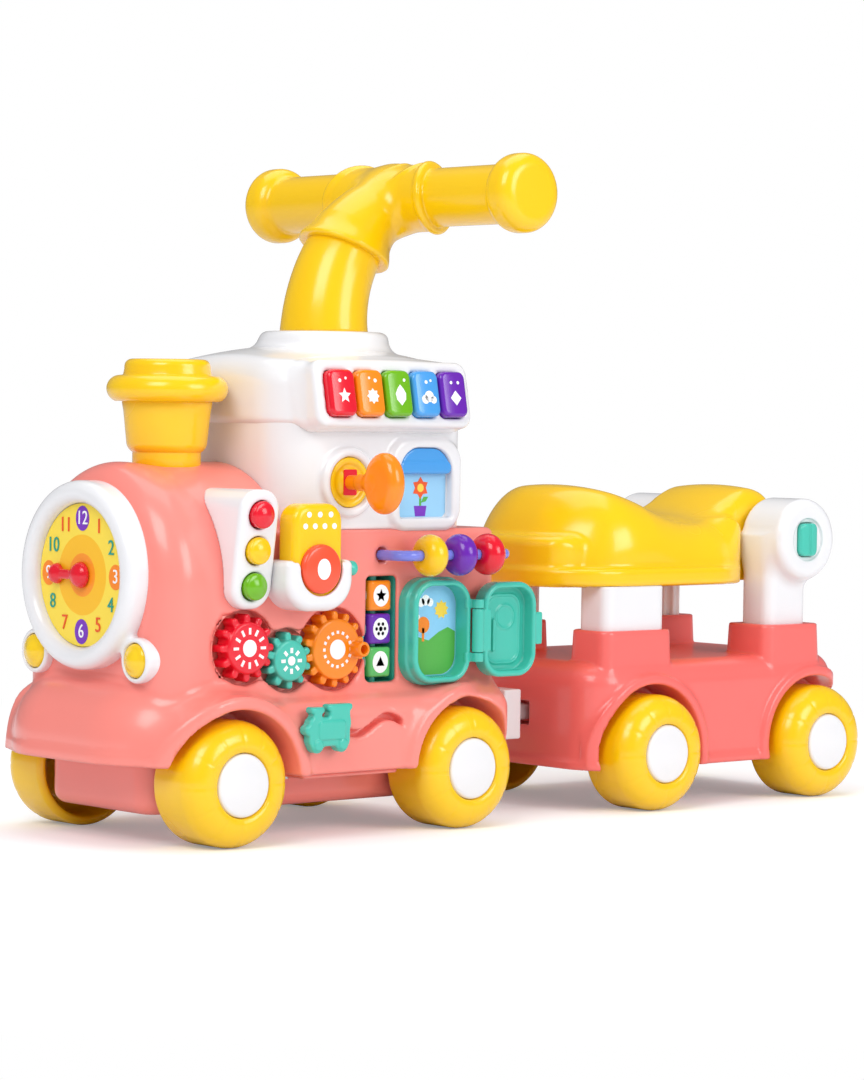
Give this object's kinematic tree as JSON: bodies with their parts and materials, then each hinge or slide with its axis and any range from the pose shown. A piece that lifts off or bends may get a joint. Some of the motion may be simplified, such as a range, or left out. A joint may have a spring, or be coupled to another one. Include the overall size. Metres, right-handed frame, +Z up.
{
  "type": "ride-on toy train",
  "caption": "Ride-on toy train: a locomotive with handlebar, clock, piano, gears, beads and other activity gadgets, coupled to a trailer with a saddle seat.",
  "frame": {"origin": "on the floor under the middle of the train's bounding box", "axes": "+X to the rear of the train, +Y to its right side, +Z up; the train stands straight, hatch open, seat down"},
  "size_m": [0.658, 0.28, 0.4495],
  "materials": {
    "salmon": "glossy moulded plastic",
    "deep_salmon": "glossy moulded plastic",
    "yellow": "glossy moulded plastic",
    "white": "glossy moulded plastic",
    "teal": "glossy moulded plastic",
    "orange": "glossy moulded plastic",
    "red": "glossy moulded plastic",
    "purple": "glossy moulded plastic",
    "green": "glossy moulded plastic",
    "blue": "glossy moulded plastic",
    "lavender": "glossy moulded plastic",
    "coral": "glossy moulded plastic",
    "steel": "turned steel",
    "dark": "plain moulded plastic",
    "sky": "glossy moulded plastic"
  },
  "bodies": {
    "locomotive": {"loco_body": "salmon", "loco_chassis": "salmon", "cab_shell": "white", "cab_roof": "white", "chimney": "yellow", "handle_neck": "yellow", "handle_bar": "yellow", "clock_bezel": "white", "clock_dial": "yellow", "headlights": "yellow", "light_panel": "white", "phone_holder": "white", "gear_tray": "salmon", "cube_tray": "teal", "hatch_frame": "teal", "bead_rod": "lavender", "lock_disc": "yellow", "window_card": "sky", "drawbar": "white", "sound_module": "dark", "battery_box": "dark", "screws": "steel"},
    "trailer": {"trailer_body": "deep_salmon", "front_pillars": "white", "rear_posts": "white"},
    "phone": {"phone": "yellow", "phone_ring": "coral"},
    "loco_front_wheelset": {"loco_front_wheels": "yellow", "loco_front_axle": "steel"},
    "loco_rear_wheelset": {"loco_rear_wheels": "yellow", "loco_rear_axle": "steel"},
    "trailer_front_wheelset": {"trailer_front_wheels": "yellow", "trailer_front_axle": "steel"},
    "trailer_rear_wheelset": {"trailer_rear_wheels": "yellow", "trailer_rear_axle": "steel"},
    "clock_hand": {"clock_hand": "red"},
    "light_red": {"light_red": "red"},
    "light_yellow": {"light_yellow": "yellow"},
    "light_green": {"light_green": "green"},
    "gear_red": {"gear_red": "red"},
    "gear_teal": {"gear_teal": "teal"},
    "gear_orange": {"gear_orange": "orange"},
    "cube_orange": {"cube_orange": "orange"},
    "cube_purple": {"cube_purple": "purple"},
    "cube_green": {"cube_green": "green"},
    "hatch_door": {"hatch_door": "teal"},
    "bead_yellow": {"bead_yellow": "yellow"},
    "bead_purple": {"bead_purple": "purple"},
    "bead_red": {"bead_red": "red"},
    "slider": {"slider": "teal"},
    "key_red": {"key_red": "red"},
    "key_orange": {"key_orange": "orange"},
    "key_green": {"key_green": "green"},
    "key_blue": {"key_blue": "blue"},
    "key_purple": {"key_purple": "purple"},
    "key_knob": {"key_knob": "orange"},
    "window_blind": {"window_blind": "blue"},
    "release_left": {"release_left": "teal"},
    "release_right": {"release_right": "teal"},
    "seat": {"seat": "yellow"}
  },
  "joints": [
    {"name": "hitch_turn", "type": "hinge", "parent": "locomotive", "child": "trailer", "pos_m": [0.073, 0, 0.0665], "axis": [0, 0, 1], "range_deg": [-25, 25]},
    {"name": "loco_front_roll", "type": "hinge", "parent": "locomotive", "child": "loco_front_wheelset", "pos_m": [-0.257, 0, 0.041], "axis": [0, 1, 0], "continuous": true},
    {"name": "loco_rear_roll", "type": "hinge", "parent": "locomotive", "child": "loco_rear_wheelset", "pos_m": [-0.062, 0, 0.041], "axis": [0, 1, 0], "continuous": true},
    {"name": "trailer_front_roll", "type": "hinge", "parent": "trailer", "child": "trailer_front_wheelset", "pos_m": [0.122, 0, 0.041], "axis": [0, 1, 0], "continuous": true},
    {"name": "trailer_rear_roll", "type": "hinge", "parent": "trailer", "child": "trailer_rear_wheelset", "pos_m": [0.288, 0, 0.041], "axis": [0, 1, 0], "continuous": true},
    {"name": "seat_tip", "type": "hinge", "parent": "trailer", "child": "seat", "pos_m": [0.278, 0, 0.189], "axis": [0, 1, 0], "range_deg": [0, 75]},
    {"name": "release_left_press", "type": "slide", "parent": "trailer", "child": "release_left", "axis": [0, 1, 0], "range_m": [0, 0.004], "stiffness_N_per_m": 300},
    {"name": "release_right_press", "type": "slide", "parent": "trailer", "child": "release_right", "axis": [0, -1, 0], "range_m": [0, 0.004], "stiffness_N_per_m": 300},
    {"name": "hatch_swing", "type": "hinge", "parent": "locomotive", "child": "hatch_door", "pos_m": [-0.0525, -0.0965, 0.1328], "axis": [0, 0, 1], "range_deg": [-180, 0]},
    {"name": "clock_turn", "type": "hinge", "parent": "locomotive", "child": "clock_hand", "pos_m": [-0.309, 0, 0.171], "axis": [1, 0, 0], "continuous": true},
    {"name": "light_red_press", "type": "slide", "parent": "locomotive", "child": "light_red", "axis": [0, 1, 0], "range_m": [0, 0.0025], "stiffness_N_per_m": 300},
    {"name": "light_yellow_press", "type": "slide", "parent": "locomotive", "child": "light_yellow", "axis": [0, 1, 0], "range_m": [0, 0.0025], "stiffness_N_per_m": 300},
    {"name": "light_green_press", "type": "slide", "parent": "locomotive", "child": "light_green", "axis": [0, 1, 0], "range_m": [0, 0.0025], "stiffness_N_per_m": 300},
    {"name": "phone_lift", "type": "slide", "parent": "locomotive", "child": "phone", "axis": [0, 0, 1], "range_m": [0, 0.04]},
    {"name": "gear_red_spin", "type": "hinge", "parent": "locomotive", "child": "gear_red", "pos_m": [-0.23753, -0.075, 0.12625], "axis": [0, 1, 0], "continuous": true},
    {"name": "gear_teal_spin", "type": "hinge", "parent": "locomotive", "child": "gear_teal", "pos_m": [-0.203, -0.075, 0.117], "axis": [0, 1, 0], "continuous": true},
    {"name": "gear_orange_spin", "type": "hinge", "parent": "locomotive", "child": "gear_orange", "pos_m": [-0.16448, -0.075, 0.1231], "axis": [0, 1, 0], "continuous": true},
    {"name": "cube_orange_spin", "type": "hinge", "parent": "locomotive", "child": "cube_orange", "pos_m": [-0.1225, -0.068, 0.157], "axis": [0, 0, 1], "continuous": true},
    {"name": "cube_purple_spin", "type": "hinge", "parent": "locomotive", "child": "cube_purple", "pos_m": [-0.1225, -0.068, 0.135], "axis": [0, 0, 1], "continuous": true},
    {"name": "cube_green_spin", "type": "hinge", "parent": "locomotive", "child": "cube_green", "pos_m": [-0.1225, -0.068, 0.113], "axis": [0, 0, 1], "continuous": true},
    {"name": "bead_yellow_slide", "type": "slide", "parent": "locomotive", "child": "bead_yellow", "axis": [1, 0, 0], "range_m": [-0.005, 0.004]},
    {"name": "bead_purple_slide", "type": "slide", "parent": "locomotive", "child": "bead_purple", "axis": [1, 0, 0], "range_m": [-0.0045, 0.0035]},
    {"name": "bead_red_slide", "type": "slide", "parent": "locomotive", "child": "bead_red", "axis": [1, 0, 0], "range_m": [-0.004, 0.002]},
    {"name": "slider_slide", "type": "slide", "parent": "locomotive", "child": "slider", "axis": [1, 0, 0], "range_m": [0, 0.015]},
    {"name": "key_red_press", "type": "slide", "parent": "locomotive", "child": "key_red", "axis": [0, 0.9816, -0.1908], "range_m": [0, 0.003], "stiffness_N_per_m": 300},
    {"name": "key_orange_press", "type": "slide", "parent": "locomotive", "child": "key_orange", "axis": [0, 0.9816, -0.1908], "range_m": [0, 0.003], "stiffness_N_per_m": 300},
    {"name": "key_green_press", "type": "slide", "parent": "locomotive", "child": "key_green", "axis": [0, 0.9816, -0.1908], "range_m": [0, 0.003], "stiffness_N_per_m": 300},
    {"name": "key_blue_press", "type": "slide", "parent": "locomotive", "child": "key_blue", "axis": [0, 0.9816, -0.1908], "range_m": [0, 0.003], "stiffness_N_per_m": 300},
    {"name": "key_purple_press", "type": "slide", "parent": "locomotive", "child": "key_purple", "axis": [0, 0.9816, -0.1908], "range_m": [0, 0.003], "stiffness_N_per_m": 300},
    {"name": "ignition_turn", "type": "hinge", "parent": "locomotive", "child": "key_knob", "pos_m": [-0.151, -0.1, 0.232], "axis": [0, 1, 0], "range_deg": [-45, 45]},
    {"name": "blind_slide", "type": "slide", "parent": "locomotive", "child": "window_blind", "axis": [0, 0, 1], "range_m": [-0.025, 0]}
  ],
  "couplings": [
    {"joint": "gear_teal_spin", "follows": "gear_orange_spin", "ratio": -1.4},
    {"joint": "gear_red_spin", "follows": "gear_orange_spin", "ratio": 1.1667}
  ]
}
